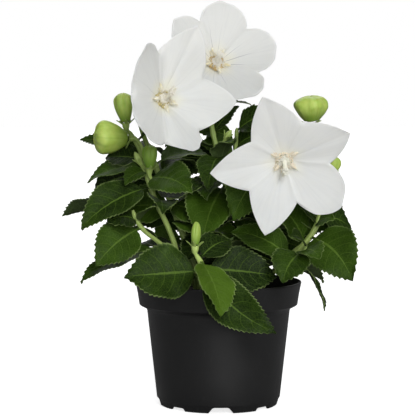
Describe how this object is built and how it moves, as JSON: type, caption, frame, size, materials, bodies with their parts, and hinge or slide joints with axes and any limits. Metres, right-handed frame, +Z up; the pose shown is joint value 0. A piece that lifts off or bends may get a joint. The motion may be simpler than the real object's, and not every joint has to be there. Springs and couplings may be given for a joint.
{
  "type": "potted balloon flower",
  "caption": "White balloon flower plant with open blooms, closed buds and toothed leaves, growing in a round black plastic nursery pot filled with soil.",
  "frame": {"origin": "middle of the pot's base, on the surface it stands on", "axes": "+Z up; -Y is the front, which the open blooms face; +X is to the right of a viewer in front"},
  "size_m": [0.1806, 0.1528, 0.2504],
  "materials": {
    "pot": "satin black moulded plastic",
    "soil": "crumbly dark peat",
    "stem": "matte green with a faint sheen",
    "corolla": "matte white with fine grey veins",
    "stamens": "matte cream",
    "bud": "matte yellow-green"
  },
  "bodies": {
    "root": {"pot": "pot", "soil": "soil", "corolla_right": "corolla", "corolla_left": "corolla", "corolla_top": "corolla", "stamens_right": "stamens", "stamens_left": "stamens", "stamens_top": "stamens", "bud_left_balloon": "bud", "bud_left_upper": "bud", "bud_left_small": "bud", "bud_right": "bud", "bud_right_low": "bud", "bud_front": "bud", "stem_left": "stem", "stem_bloom_left": "stem", "stem_bloom_top": "stem", "stem_bloom_right": "stem", "stem_right": "stem", "stem_front": "stem", "stem_left_low": "stem", "stem_right_low": "stem", "stem_back_left": "stem", "stem_back_middle": "stem", "stem_back_right": "stem"}
  },
  "joints": []
}
